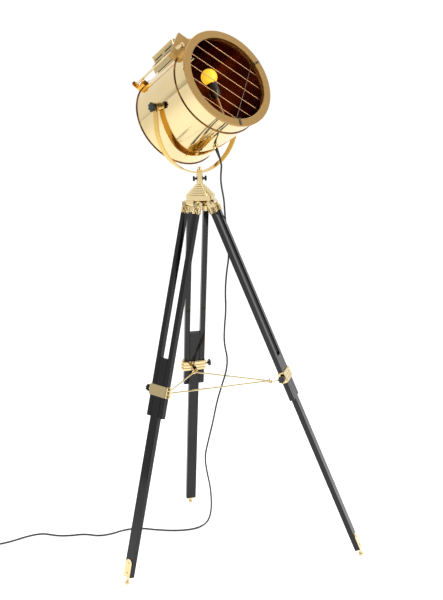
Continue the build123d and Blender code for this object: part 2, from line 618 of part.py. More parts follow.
# ---- vent chimney, carrying rod and its brackets ---------------------------------------------------
SEAT_R = DRUM_R + 0.1
with BuildPart() as vent_chimney:
    vent_length = VENT_FRONT - VENT_BACK
    vent_top = Plane(
        origin=on(DRUM, 0, VENT_TOP, (VENT_BACK + VENT_FRONT) / 2), x_dir=FAR, z_dir=-DRUM.y_dir
    )
    with BuildSketch(vent_top):
        RectangleRounded(2 * VENT_HALF, vent_length, 5)
    extrude(amount=100)
    with BuildSketch(vent_top):
        RectangleRounded(2 * VENT_HALF + 5, vent_length + 5, 6)
    extrude(amount=3)
    with BuildSketch(vent_top.offset(VENT_TOP - SEAT_R - 12)):
        RectangleRounded(2 * VENT_HALF + 22, vent_length + 8, 6)
    extrude(amount=70)
    add(drum_core(SEAT_R + 2.0), mode=Mode.SUBTRACT)
    with BuildSketch(vent_top):
        RectangleRounded(2 * VENT_HALF, vent_length, 5)
    extrude(amount=100)
    with BuildSketch(vent_top.offset(1.5)):
        RectangleRounded(2 * VENT_HALF - 3, vent_length - 3, 4)
    extrude(amount=120, mode=Mode.SUBTRACT)
    add(drum_core(SEAT_R), mode=Mode.SUBTRACT)
    for up in (162.0, 171.0, 180.0):
        slot = Plane(origin=on(DRUM, 0, up, 2), x_dir=AIM, z_dir=FAR)
        with BuildSketch(slot):
            with GridLocations(56, 1, 2, 1):
                SlotOverall(42, 4)
        extrude(amount=100, both=True, mode=Mode.SUBTRACT)
save(vent_chimney, "vent_chimney")

ROD_ANGLE, ROD_RADIUS, ROD_R = 132.6, 177.0, 3.2
PLATE_ANGLE, PLATE_FRONT, PLATE_TOP_R, SHEET = 139.0, 122.0, 182.0, 2.5
PLATE_START, PLATE_END, PLATE_ROOT = -2.0, 86.0, 110.0
FLANGE, FOLD = 22.0, 9.0
SLOT_X, SLOT_Y, SLOT_LENGTH, SLOT_WIDTH, SLOT_TURN = 42.0, 162.5, 44.0, 11.0, -27.0
with BuildPart() as front_bracket:
    seat = drum_plane(PLATE_ANGLE, PLATE_FRONT)
    with BuildSketch(seat):
        with Locations((PLATE_START, PLATE_ROOT)):
            Rectangle(PLATE_END - PLATE_START, PLATE_TOP_R - PLATE_ROOT, align=(Align.MIN, Align.MIN))
        with Locations((SLOT_X, SLOT_Y)):
            SlotOverall(SLOT_LENGTH, SLOT_WIDTH, rotation=SLOT_TURN, mode=Mode.SUBTRACT)
    extrude(amount=-SHEET)
    with BuildSketch(seat):
        with Locations((PLATE_START, PLATE_ROOT)):
            Rectangle(SHEET, PLATE_TOP_R - PLATE_ROOT, align=(Align.MIN, Align.MIN))
    extrude(amount=-FLANGE)
    with BuildSketch(seat):
        with Locations((PLATE_START, PLATE_TOP_R - SHEET)):
            Rectangle(PLATE_END - PLATE_START, SHEET, align=(Align.MIN, Align.MIN))
    extrude(amount=-FOLD)
    add(drum_core(SEAT_R), mode=Mode.SUBTRACT)
    with BuildSketch(SIDE):
        with Locations((DRUM_R + 0.5, BEAD_FRONT)):
            Rectangle(2 * BEAD_R + 0.6, 2 * BEAD_R + 0.6)
    revolve(axis=DRUM_AXIS, mode=Mode.SUBTRACT)
save(front_bracket, "front_bracket")

STUD_X, STUD_Y, STUD_R, NUT_R = 50.0, 158.4, 4.0, 8.0
with BuildPart() as front_bracket_stud:
    with BuildSketch(Plane(origin=on(seat, STUD_X, STUD_Y, -12), x_dir=seat.x_dir, z_dir=AIM)):
        Circle(STUD_R)
    extrude(amount=18)
    with BuildSketch(Plane(origin=on(seat, STUD_X, STUD_Y, 0), x_dir=seat.x_dir, z_dir=AIM)):
        RegularPolygon(NUT_R, 6)
    extrude(amount=4)
save(front_bracket_stud, "bracket_stud")

REAR_FACE, REAR_HALF, REAR_TOP_R, BLOCK_TOP = -109.5, 9.0, 181.0, 167.0
with BuildPart() as rear_bracket:
    seat = drum_plane(ROD_ANGLE, REAR_FACE)
    with BuildSketch(seat):
        with Locations((0, 130)):
            Rectangle(2 * REAR_HALF, REAR_TOP_R - 130, align=(Align.CENTER, Align.MIN))
        with Locations((0, REAR_TOP_R)):
            Circle(REAR_HALF)
        with Locations((0, ROD_RADIUS)):
            Circle(ROD_R, mode=Mode.SUBTRACT)
    extrude(amount=-SHEET)
    with BuildSketch(seat):
        with Locations((0, 130)):
            Rectangle(2 * REAR_HALF, BLOCK_TOP - 130, align=(Align.CENTER, Align.MIN))
    extrude(amount=34)
    add(drum_core(SEAT_R), mode=Mode.SUBTRACT)
    wing_plane = radial_plane(ROD_ANGLE, REAR_FACE + 24, SEAT_R + 1)
    add(peg(wing_plane.origin, wing_plane.origin + wing_plane.z_dir * 40, 3.0), mode=Mode.SUBTRACT)
save(rear_bracket, "rear_bracket")

with BuildPart() as handle_rod:
    seat = drum_plane(ROD_ANGLE, REAR_FACE)
    rod_back = on(seat, 0, ROD_RADIUS, -SHEET - 5)
    rod_front = rod_back + AIM * (PLATE_FRONT - SHEET - REAR_FACE + SHEET + 5)
    add(peg(rod_back, rod_front, ROD_R))
save(handle_rod, "handle_rod")

with BuildPart() as wing_screw:
    with BuildSketch(wing_plane.offset(2)):
        Circle(3.0 - RUNNING)
    extrude(amount=BLOCK_TOP - SEAT_R - 1)
    with BuildSketch(wing_plane.offset(BLOCK_TOP - SEAT_R - 1 + CLEAR)):
        Circle(3.9)
    extrude(amount=4.0 - CLEAR)
    across = wing_plane.y_dir
    bar = wing_plane.origin + wing_plane.z_dir * (BLOCK_TOP - SEAT_R + 1.2)
    add(peg(bar - across * 21, bar + across * 21, 2.0))
save(wing_screw, "wing_screw")

# ---- tilt axle ---------------------------------------------------------------------------------------
BOSS_FACE, BOSS_END = DRUM_R + 0.05, YOKE_R - YOKE_WALL - 0.6
with BuildPart() as pivot_bosses:
    for side in (-1, 1):
        with BuildSketch(AXLE.offset(side * BOSS_FACE)):
            Circle(13)
            Circle(STUD_AXLE_R, mode=Mode.SUBTRACT)
        extrude(amount=side * (BOSS_END - BOSS_FACE))
save(pivot_bosses, "pivot_bosses")

with BuildPart() as pivot_studs:
    for side, tip in ((-1, 181.0), (1, 177.0)):
        with BuildSketch(AXLE.offset(side * 145.5)):
            Circle(STUD_AXLE_R)
        extrude(amount=side * (tip - 145.5))
save(pivot_studs, "pivot_studs")

with BuildPart() as pivot_nuts:
    for side in (-1, 1):
        with BuildSketch(AXLE.offset(side * 145.6)):
            RegularPolygon(7.5, 6)
            Circle(STUD_AXLE_R, mode=Mode.SUBTRACT)
        extrude(amount=side * 5.8)
    with BuildSketch(AXLE.offset(YOKE_R + CLEAR)):
        Circle(9)
        Circle(STUD_AXLE_R, mode=Mode.SUBTRACT)
    extrude(amount=177.0 - YOKE_R - CLEAR)
    with BuildSketch(AXLE.offset(177.0)):
        Circle(9)
    extrude(amount=3.5)
    dome_edge = pivot_nuts.faces().sort_by(Axis(HEAD, FAR))[-1].edges()
    fillet(dome_edge, 3.0)
save(pivot_nuts, "pivot_nuts")

knob_place = Plane(origin=HEAD - FAR * (YOKE_R + CLEAR), x_dir=LEVEL, z_dir=-FAR)
save(star_knob(knob_place, 15.0, 9.0, 7.0, 0, 0, hole=STUD_AXLE_R + RUNNING), "tilt_knob")

# ---- cord ----------------------------------------------------------------------------------------------
GLAND_TIP, RELIEF_TIP = -162.0, -192.0
gland_axis = Axis(on(DRUM, 0, 0, GLAND_ALONG), DRUM.y_dir)
gland_side = Plane(origin=on(DRUM, 0, 0, GLAND_ALONG), x_dir=FAR, z_dir=AIM)
with BuildPart() as cable_gland:
    with BuildSketch(gland_side):
        for r, low, high in (
            (8.5, GLAND_TIP + 3, -DRUM_R - 0.3),
            (6.8, GLAND_TIP, GLAND_TIP + 3),
            (GLAND_R - 0.02, -DRUM_R - 0.3, -146.0),
        ):
            with Locations((0, low)):
                Rectangle(r, high - low, align=(Align.MIN, Align.MIN))
    revolve(axis=gland_axis)
save(cable_gland, "cable_gland")

with BuildPart() as strain_relief:
    with BuildSketch(gland_side):
        with BuildLine():
            Polyline((0, GLAND_TIP), (5.5, GLAND_TIP), (CORD_R + 0.6, RELIEF_TIP),
                     (0, RELIEF_TIP), close=True)
        make_face()
    revolve(axis=gland_axis)
save(strain_relief, "strain_relief")

# The cord's route: out of the relief, past the hub, down inside the legs and away to the left.
# Points are from the post's foot on the floor; the last stretch lies on the floor.
exit_point = on(DRUM, 0, RELIEF_TIP, GLAND_ALONG) - Vector(HUB_X, HUB_Y, 0)
exit_end = exit_point - DRUM.y_dir * 22
UPPER_ROUTE = [exit_point, exit_end, (66.5, -85, 1303), (65.5, -76, 1268), (70.25, -57, 1240)]
LOWER_ROUTE = [
    (70.25, -57, 1240), (75, -38, 1212), (77, -2, 1173), (79.5, 27, 1135), (84, 42, 1078),
    (88.5, 49, 1012), (77.5, 53, 951), (71.5, 56, 886), (72.5, 57, 826), (65, 58, 762),
    (62, 58, 705), (72.5, 54, 655), (66.5, 50, 608), (47, 48, 553), (29.5, 54, 495),
    (14, 60, 422), (-4, 68, 353), (-19, 76, 290), (-14, 84, 232), (-3.5, 93, 169),
    (-1, 104, 108), (-4, 115, 58), (-16, 119, 20), (-46, 109, 3.2), (-92, 92, 3.2),
    (-150, 93, 3.2), (-207, 106, 3.2), (-262, 124, 3.2), (-318, 118, 3.2), (-366, 86, 3.2),
    (-412, 76, 3.2), (-462, 97, 3.2), (-512, 88, 3.2), (-560, 91, 3.2), (-616, 117, 3.2),
    (-668, 98, 3.2), (-714, 66, 3.2), (-756, 46, 3.2),
]
COIL_CENTRE = Vector(COIL_X, COIL_Y, 0)


def corner_radii(points):
    """The largest bend at each corner that its two runs leave room for."""
    radii = []
    for a, b, c in zip(points, points[1:], points[2:]):
        before, after = b - a, c - b
        turn = radians(before.get_angle(after))
        radii.append(0.45 * min(before.length, after.length) / tan(turn / 2))
    return radii


def cord_tube(points, label):
    points = [Vector(*p) + Vector(HUB_X, HUB_Y, 0) for p in points]
    radii = corner_radii(points)
    with BuildPart() as tube:
        with BuildLine() as path:
            FilletPolyline(*points, radius=radii)
        with BuildSketch(Plane(origin=points[0], z_dir=points[1] - points[0])):
            Circle(CORD_R)
        sweep()
    save(tube, label)
    length = sum(edge.length for edge in path.edges())
    runs = [(b - a).length for a, b in zip(points, points[1:])]
    turns = [
        (b - a).get_angle(c - b) for a, b, c in zip(points, points[1:], points[2:])
    ]
    print(label, "length", round(length, 1), "volume ratio",
          round(tube.part.volume / (pi * CORD_R**2 * length), 4))
    print("  radii", [round(r) for r in radii])
    print("  runs", [round(r) for r in runs], "turns", [round(t) for t in turns])
    return length


TAIL = 31.0
COIL_REACH = COIL_R + 6.0                           # middle of its outermost turn
coil_entry = COIL_CENTRE + Vector(TAIL, COIL_REACH, CORD_R + 0.2)
LOWER_ROUTE += [
    tuple(coil_entry + Vector(40, 0, 0) - Vector(HUB_X, HUB_Y, 0)),
    tuple(coil_entry - Vector(HUB_X, HUB_Y, 0)),
]
cord_length = cord_tube(UPPER_ROUTE, "cord_upper") + cord_tube(LOWER_ROUTE, "cord_lower")
print("cord above the coil", round(cord_length, 1))

with BuildPart() as cord_coil:
    with BuildSketch(Plane(COIL_CENTRE + Vector(0, 0, COIL_BOTTOM))):
        Circle(COIL_R + COIL_WIDTH / 2)
        Circle(COIL_R - COIL_WIDTH / 2, mode=Mode.SUBTRACT)
    extrude(amount=COIL_TOP - COIL_BOTTOM)
    add(peg(coil_entry, coil_entry - Vector(TAIL, 0, 0), CORD_R))
    plug_entry = COIL_CENTRE + Vector(-COIL_REACH, -TAIL, CORD_R + 0.2)
    add(peg(plug_entry, plug_entry + Vector(0, TAIL, 0), CORD_R))
save(cord_coil, "cord_coil")

with BuildPart() as cord_tie:
    tie_at = COIL_CENTRE + Vector(COIL_R, -5, (COIL_BOTTOM + COIL_TOP) / 2)
    with BuildSketch(Plane(origin=tie_at, x_dir=(1, 0, 0), z_dir=(0, 1, 0))):
        RectangleRounded(COIL_WIDTH + 2.4, COIL_TOP - COIL_BOTTOM + 1.1, 0.5)
        Rectangle(COIL_WIDTH + 1.0, COIL_TOP - COIL_BOTTOM + 0.1, mode=Mode.SUBTRACT)
    extrude(amount=10)
save(cord_tie, "cord_tie")

PLUG_R, PLUG_LENGTH, PIN_LENGTH = 9.0, 34.0, 19.0
with BuildPart() as plug:
    nose = Plane(origin=(plug_entry.X, plug_entry.Y, PLUG_R), x_dir=(1, 0, 0), z_dir=(0, -1, 0))
    with BuildSketch(nose):
        Circle(PLUG_R - 3)
    with BuildSketch(nose.offset(PLUG_LENGTH * 0.45)):
        RectangleRounded(32, 2 * PLUG_R - 0.4, 8)
    loft()
    with BuildSketch(nose.offset(PLUG_LENGTH * 0.45)):
        RectangleRounded(32, 2 * PLUG_R - 0.4, 8)
    extrude(amount=PLUG_LENGTH * 0.55)
    with BuildSketch(nose.offset(PLUG_LENGTH)):
        with GridLocations(19, 1, 2, 1):
            Circle(2.0)
    extrude(amount=PIN_LENGTH)
save(plug, "plug")
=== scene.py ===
from math import cos, pi, radians, sin

import bmesh
import bpy
from mathutils import Matrix, Vector


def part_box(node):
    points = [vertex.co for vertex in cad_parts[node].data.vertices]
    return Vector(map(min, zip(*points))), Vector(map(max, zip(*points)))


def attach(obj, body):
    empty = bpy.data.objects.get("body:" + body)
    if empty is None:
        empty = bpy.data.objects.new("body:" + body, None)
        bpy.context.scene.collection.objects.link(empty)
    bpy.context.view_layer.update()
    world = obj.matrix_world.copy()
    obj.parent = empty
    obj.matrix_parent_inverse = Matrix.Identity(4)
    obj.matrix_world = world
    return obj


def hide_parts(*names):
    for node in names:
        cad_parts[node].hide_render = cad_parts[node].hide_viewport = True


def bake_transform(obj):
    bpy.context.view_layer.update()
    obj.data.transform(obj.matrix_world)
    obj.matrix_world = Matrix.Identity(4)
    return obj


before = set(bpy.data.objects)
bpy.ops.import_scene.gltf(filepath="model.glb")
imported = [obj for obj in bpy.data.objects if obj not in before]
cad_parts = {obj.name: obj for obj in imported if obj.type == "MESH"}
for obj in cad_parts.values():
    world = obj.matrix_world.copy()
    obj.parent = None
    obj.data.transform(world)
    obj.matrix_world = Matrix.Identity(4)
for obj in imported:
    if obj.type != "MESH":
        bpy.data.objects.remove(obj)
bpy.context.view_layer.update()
bpy.ops.object.select_all(action="DESELECT")

# ---- Legs -----------------------------------------------------------------------------------
# Three telescopic legs: on each, two fixed upper battens with one sliding lower batten between
# them. Hardwood, planed square, stained black and finished in clear gloss lacquer.


def srgb(code):
    """A '#rrggbb' colour as the linear values that Blender works in."""
    parts = [int(code[i:i + 2], 16) / 255 for i in (1, 3, 5)]
    return tuple(c / 12.92 if c <= 0.04045 else ((c + 0.055) / 1.055) ** 2.4 for c in parts) + (1.0,)


def add_node(tree, kind, links=(), **settings):
    """One node with its settings; links are (input, (node, output)) pairs."""
    node = tree.nodes.new(kind)
    for key, value in settings.items():
        if key.startswith("in_"):
            node.inputs[key[3:].replace("_", " ")].default_value = value
        else:
            setattr(node, key, value)
    for socket, source in links:
        tree.links.new(node.inputs[socket], source[0].outputs[source[1]])
    return node


def new_material(name):
    material = bpy.data.materials.new(name)
    material.use_nodes = True
    tree = material.node_tree
    shader = tree.nodes["Principled BSDF"]
    return material, tree, shader


def finish_with(material, *pieces):
    """Gives a whole piece one finish: its own mesh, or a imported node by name."""
    for piece in pieces:
        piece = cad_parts[piece] if isinstance(piece, str) else piece
        piece.data.materials.clear()
        piece.data.materials.append(material)


# Black gloss lacquer over stained beech: a deep clear skin, with the long grain just telling
# through it as a faint relief and a slightly browner black.
black_lacquer, tree, shader = new_material("black_lacquer_over_beech")
place = add_node(tree, "ShaderNodeTexCoord")
along_grain = add_node(tree, "ShaderNodeMapping", [("Vector", (place, "Object"))],
                       in_Scale=(620, 620, 16))
grain = add_node(tree, "ShaderNodeTexNoise", [("Vector", (along_grain, "Vector"))],
                 in_Detail=5.0, in_Roughness=0.6)
stain = add_node(tree, "ShaderNodeValToRGB", [("Fac", (grain, "Fac"))])
stain.color_ramp.elements[0].position = 0.35
stain.color_ramp.elements[0].color = srgb("#08070a")
stain.color_ramp.elements[1].position = 0.75
stain.color_ramp.elements[1].color = srgb("#17120f")
bump = add_node(tree, "ShaderNodeBump", [("Height", (grain, "Fac"))],
                in_Strength=0.12, in_Distance=0.0003)
tree.links.new(shader.inputs["Base Color"], stain.outputs["Color"])
tree.links.new(shader.inputs["Normal"], bump.outputs["Normal"])
shader.inputs["Roughness"].default_value = 0.34
shader.inputs["Coat Weight"].default_value = 0.8
shader.inputs["Specular IOR Level"].default_value = 0.0
shader.inputs["Coat Roughness"].default_value = 0.06
LEGS = ("right", "left", "back")
for leg in LEGS:
    finish_with(black_lacquer, "rods_" + leg, "lower_leg_" + leg)

# ---- Leg clamps -----------------------------------------------------------------------------
# A cast brass collar with three ribs closes round the battens of each leg. A black star knob
# on its screw draws the hinged jaws together and holds the lower batten where it stands.
# The colour sockets of Blender's Mix node, and how much darker the hazed metal is.
COLOUR_A, COLOUR_B, COLOUR_OUT = 6, 7, 2
TARNISH = 0.9


def brass(name, code, gloss, haze, wear_mm, dent):
    """Brass of one finish: its colour, gloss, how much haze it has, and the size of the haze."""
    material, tree, shader = new_material(name)
    shader.inputs["Metallic"].default_value = 1.0
    place = add_node(tree, "ShaderNodeTexCoord")
    haze_map = add_node(tree, "ShaderNodeTexNoise", [("Vector", (place, "Object"))],
                        in_Scale=1000.0 / wear_mm, in_Detail=3.0)
    gloss_map = add_node(tree, "ShaderNodeMapRange", [("Value", (haze_map, "Fac"))],
                         in_To_Min=gloss, in_To_Max=gloss + haze)
    tone = add_node(tree, "ShaderNodeMix", [("Factor", (haze_map, "Fac"))], data_type="RGBA")
    bright = srgb(code)
    tone.inputs[COLOUR_A].default_value = bright
    tone.inputs[COLOUR_B].default_value = tuple(c * TARNISH for c in bright[:3]) + (1.0,)
    bump = add_node(tree, "ShaderNodeBump", [("Height", (haze_map, "Fac"))],
                    in_Strength=dent, in_Distance=0.0004)
    tree.links.new(shader.inputs["Base Color"], tone.outputs[COLOUR_OUT])
    tree.links.new(shader.inputs["Roughness"], gloss_map.outputs["Result"])
    tree.links.new(shader.inputs["Normal"], bump.outputs["Normal"])
    return material


def skin_relief(tree, shader, scale, strength, distance):
    """A fine even relief all over a moulded, extruded or glazed skin."""
    place = add_node(tree, "ShaderNodeTexCoord")
    relief = add_node(tree, "ShaderNodeTexNoise", [("Vector", (place, "Object"))], in_Scale=scale)
    bump = add_node(tree, "ShaderNodeBump", [("Height", (relief, "Fac"))],
                    in_Strength=strength, in_Distance=distance)
    tree.links.new(shader.inputs["Normal"], bump.outputs["Normal"])


# Polished and lacquered brass: a pale gold mirror with hardly any haze.
polished_brass = brass("polished_brass", "#E4CE9C", 0.05, 0.05, 60.0, 0.03)
# Black phenolic moulding: dark, glossy on its rounded edges, with a fine moulded skin.
black_moulding, tree, shader = new_material("black_moulding")
shader.inputs["Base Color"].default_value = srgb("#141316")
shader.inputs["Roughness"].default_value = 0.22
skin_relief(tree, shader, 700.0, 0.1, 0.0003)
for leg in LEGS:
    finish_with(polished_brass, "clamp_" + leg)
    finish_with(black_moulding, "clamp_knob_" + leg)

# ---- Hub ------------------------------------------------------------------------------------
# The legs' heads are bolted between the lugs of a turned brass hub. A stepped brass dome caps
# it, and the neck tube stands on the dome with a small black star knob on either side.
finish_with(polished_brass, "hub_casting", "ribbed_dome", "neck_tube", "leg_bolts", "finial_nut")
finish_with(polished_brass, "ferrules")
finish_with(black_moulding, "neck_knob_left", "neck_knob_right")

# ---- Spreader -------------------------------------------------------------------------------
# Three thin brass rods, hooked into a ring between the legs, keep the legs from opening.
finish_with(polished_brass, "strut_rear", "strut_left", "strut_back", "spreader_ring", "spreader_hook")

# ---- Feet -----------------------------------------------------------------------------------
# A round-topped brass shoe covers the end of each lower batten, fixed by two low, round-edged
# brass screw heads. The batten stands on a small turned ball.
MM = 0.001


def middle(node):
    low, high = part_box(node)
    return (low + high) / 2


HUB = Vector((middle("neck_tube").x, middle("neck_tube").y, 0))
SCREW_R, SCREW_RISE, SCREW_EDGE, SCREW_INSET = 3.2 * MM, 1.3 * MM, 0.55 * MM, 14 * MM
LEG_AIM = {"right": (-16.5, 21.8), "left": (-136.5, 16.5), "back": (103.5, 14.3)}
for leg, (azimuth, splay) in LEG_AIM.items():
    finish_with(polished_brass, "foot_plate_" + leg, "foot_stud_" + leg)
    bearing, splay = radians(azimuth), radians(splay)
    across = Vector((-sin(bearing), cos(bearing), 0))
    down = Vector((cos(bearing) * sin(splay), sin(bearing) * sin(splay), -cos(splay)))
    out = down.cross(across)
    shoe = [vertex.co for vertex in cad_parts["foot_plate_" + leg].data.vertices]
    low, high = min(p.dot(down) for p in shoe), max(p.dot(down) for p in shoe)
    centre = (min(p.dot(across) for p in shoe) + max(p.dot(across) for p in shoe)) / 2
    face = max(p.dot(out) for p in shoe)
    for end, level in (("upper", low + SCREW_INSET), ("lower", high - SCREW_INSET)):
        bpy.ops.mesh.primitive_cylinder_add(
            vertices=32, radius=SCREW_R, depth=SCREW_RISE,
            location=out * (face + SCREW_RISE / 2) + across * centre + down * level,
            rotation=out.to_track_quat("Z", "Y").to_euler())
        screw = bpy.context.object
        screw.name = "shoe_screw_" + leg + "_" + end
        bpy.ops.object.transform_apply(location=True, rotation=True, scale=True)
        rim = screw.modifiers.new("rim", "BEVEL")
        rim.width, rim.segments, rim.limit_method = SCREW_EDGE, 3, "ANGLE"
        bpy.ops.object.modifier_apply(modifier=rim.name)
        bpy.ops.object.shade_smooth_by_angle()
        finish_with(polished_brass, screw)
        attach(screw, "lower_leg_" + leg)

# ---- Yoke -----------------------------------------------------------------------------------
# One flat brass strap bent to a half ring and carried on a spigot in the neck. The drum hangs
# between its ends. It is polished, and the whole strap is given a warmer gold as a painted
# reflection of the drum on its inner face.
strap_brass_painted_reflection = brass("strap_brass_with_painted_reflection", "#E3BE6C", 0.08, 0.06, 40.0, 0.03)
finish_with(strap_brass_painted_reflection, "yoke_strap")
finish_with(polished_brass, "yoke_spigot")

# ---- Drum -----------------------------------------------------------------------------------
# A spun and rolled brass drum with a bead near either end, a domed cover behind and a flat
# ring in front. The drum is a mirror; the ring and the plate over it are brushed to satin.
satin_brass = brass("satin_brass", "#B5915A", 0.34, 0.12, 5.0, 0.08)
finish_with(polished_brass, "drum_shell", "rear_cover", "ring_screws", "vent_chimney")
finish_with(satin_brass, "front_ring")

HEAD = Vector((HUB.x, HUB.y, middle("pivot_studs").z))
PAN, TILT = radians(-50.5), radians(27.4)
AIM = Vector((cos(TILT) * cos(PAN), cos(TILT) * sin(PAN), sin(TILT)))
FAR = Vector((-sin(PAN), cos(PAN), 0))
TOP = AIM.cross(FAR)
# Turns a shape built about the origin, with z as its axis and y as its top, into the drum's place.
DRUM = Matrix.Translation(HEAD) @ Matrix((FAR, TOP, AIM)).transposed().to_4x4()

# Painted shade: a thin ring of dark brass beside each rolled bead stands for the shade in its crease.
BEAD_R, BEAD_SHADE_R = 154.2 * MM, 2.3 * MM
BEAD_REAR, BEAD_FRONT = -115 * MM, 109 * MM
# The dark brass of the painted shade lines in the bead creases.
bead_shade_brass = brass("painted_bead_shade_brass", "#7A5426", 0.18, 0.08, 8.0, 0.05)
for name, along in (("painted_shade_bead_rear", BEAD_REAR), ("painted_shade_bead_front", BEAD_FRONT)):
    bpy.ops.mesh.primitive_torus_add(
        major_radius=BEAD_R, minor_radius=BEAD_SHADE_R, major_segments=180, minor_segments=14,
        location=HEAD + AIM * along, rotation=DRUM.to_euler())
    bead = bpy.context.object
    bead.name = name
    bpy.ops.object.transform_apply(location=True, rotation=True, scale=True)
    bpy.ops.object.shade_smooth()
    finish_with(bead_shade_brass, bead)
    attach(bead, "head")

# ---- Brackets and carrying rod --------------------------------------------------------------
# A slotted satin plate in front and a small polished bracket behind hold the carrying rod. A
# wing screw clamps the rear bracket to the drum.
warm_brass = brass("polished_brass_warm", "#E0A648", 0.08, 0.06, 30.0, 0.03)
finish_with(satin_brass, "front_bracket")
finish_with(polished_brass, "bracket_stud", "handle_rod")
finish_with(warm_brass, "rear_bracket", "wing_screw")

# ---- Tilt axle ------------------------------------------------------------------------------
# Brass bosses on the drum carry studs through the yoke's ends, one closed by nuts and the
# other by the black star knob that locks the tilt.
finish_with(polished_brass, "pivot_bosses", "pivot_studs", "pivot_nuts")
finish_with(black_moulding, "tilt_knob")

# ---- Reflector, lamp and guard ---------------------------------------------------------------
# The drum is lined with a spun reflector, copper-toned and polished. A lamp stands in a
# porcelain holder on a post, behind a guard of six welded bars and one spring wire.
copper_mirror = brass("copper_toned_mirror", "#A9753F", 0.16, 0.08, 25.0, 0.05)
copper_bar = brass("coppered_steel_wire", "#D9A877", 0.22, 0.08, 4.0, 0.05)
finish_with(copper_mirror, "inner_reflector")
spring_steel = brass("spring_steel_wire", "#75695F", 0.30, 0.08, 4.0, 0.05)
finish_with(copper_bar, "grille", "lamp_bracket")
finish_with(spring_steel, "cross_wire")
# Brown-glazed porcelain: dark and glossy, with the slightest waviness in the glaze.
porcelain, tree, shader = new_material("glazed_porcelain")
shader.inputs["Base Color"].default_value = srgb("#33241A")
shader.inputs["Roughness"].default_value = 0.18
shader.inputs["Coat Weight"].default_value = 0.6
skin_relief(tree, shader, 120.0, 0.06, 0.0005)
finish_with(porcelain, "lamp_holder")

# Opal glass, lit: a deep yellow, a little more orange where the opal layer is thicker.
lit_glass, tree, shader = new_material("lit_opal_glass")
shader.inputs["Base Color"].default_value = srgb("#FFC637")
shader.inputs["Roughness"].default_value = 0.25
shader.inputs["Emission Strength"].default_value = 1.0
place = add_node(tree, "ShaderNodeTexCoord")
opal = add_node(tree, "ShaderNodeTexNoise", [("Vector", (place, "Object"))],
                in_Scale=30.0, in_Detail=1.0)
glow = add_node(tree, "ShaderNodeValToRGB", [("Fac", (opal, "Fac"))])
glow.color_ramp.elements[0].position = 0.35
glow.color_ramp.elements[0].color = srgb("#FFC93C")
glow.color_ramp.elements[1].color = srgb("#F5A81F")
tree.links.new(shader.inputs["Emission Color"], glow.outputs["Color"])
finish_with(lit_glass, "bulb")

# ---- Mains cord -----------------------------------------------------------------------------
# Round black PVC flex, 6 mm thick. It leaves the strain relief under the drum, drops inside
# the legs, turns along the floor to the left and ends as a tied coil with a plug on it.
CORD_R = 3.0 * MM
FLOOR_Z = 3.2 * MM


def from_hub(points):
    return [HUB + Vector(p) * MM for p in points]


RELIEF_DROP, RELIEF_ALONG, RELIEF_RUN = 192 * MM, 14 * MM, 22 * MM
relief_tip = DRUM @ Vector((0, -RELIEF_DROP, RELIEF_ALONG))
relief_run = relief_tip - TOP * RELIEF_RUN
upper_route = [relief_tip, relief_run] + from_hub([
    (66.5, -85, 1303), (65.5, -76, 1268), (70.25, -57, 1240),
])
lower_route = from_hub([
    (70.25, -57, 1240), (75, -38, 1212), (77, -2, 1173), (79.5, 27, 1135), (84, 42, 1078),
    (88.5, 49, 1012), (77.5, 53, 951), (71.5, 56, 886), (72.5, 57, 826), (65, 58, 762),
    (62, 58, 705), (72.5, 54, 655), (66.5, 50, 608), (47, 48, 553), (29.5, 54, 495),
    (14, 60, 422), (-4, 68, 353), (-19, 76, 290), (-14, 84, 232), (-3.5, 93, 169),
    (-1, 104, 108), (-4, 115, 58), (-16, 119, 20), (-46, 109, 3.2), (-92, 92, 3.2),
    (-150, 93, 3.2), (-207, 106, 3.2), (-262, 124, 3.2), (-318, 118, 3.2), (-366, 86, 3.2),
    (-412, 76, 3.2), (-462, 97, 3.2), (-512, 88, 3.2), (-560, 91, 3.2), (-616, 117, 3.2),
    (-668, 98, 3.2), (-714, 66, 3.2), (-756, 46, 3.2),
])

# The spare length: two flat spirals, inwards on the floor and outwards on top of that.
COIL_REACH, TAIL, TURN_PITCH, TURN_POINTS = 39.0 * MM, 31.0 * MM, 6.3 * MM, 14
LAYER, LEAD_IN, COIL_EDGE = 6.2 * MM, 40 * MM, 42.7 * MM
coil_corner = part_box("cord_coil")[1]
coil_centre = Vector((coil_corner.x - COIL_EDGE, coil_corner.y - COIL_EDGE, 0))
lower_route += [coil_centre + Vector((TAIL + LEAD_IN, COIL_REACH, FLOOR_Z)),
                coil_centre + Vector((TAIL, COIL_REACH, FLOOR_Z))]
# The cord climbs to the upper layer over part of a turn, then winds back outwards.
SPIRAL_TURNS, CLIMB_FROM, INWARD_TURNS, OUTWARD_FROM, CLIMB_TURNS = 4.25, 1.9, 2.0, 2.2, 0.3
steps = int(SPIRAL_TURNS * TURN_POINTS)
for i in range(1, steps + 1):
    turn = SPIRAL_TURNS * i / steps
    angle = pi / 2 + 2 * pi * turn
    wound = min(turn, INWARD_TURNS) - max(0.0, turn - OUTWARD_FROM)
    reach = COIL_REACH - TURN_PITCH * wound
    rise = LAYER * min(1.0, max(0.0, (turn - CLIMB_FROM) / CLIMB_TURNS))
    bend = Vector((reach * cos(angle), reach * sin(angle), FLOOR_Z + rise))
    lower_route.append(coil_centre + bend)
lower_route += [coil_centre + Vector((-COIL_REACH, -TAIL * 0.4, FLOOR_Z + LAYER * 0.7)),
                coil_centre + Vector((-COIL_REACH, -TAIL * 0.75, FLOOR_Z + LAYER * 0.1)),
                coil_centre + Vector((-COIL_REACH, -TAIL, FLOOR_Z))]


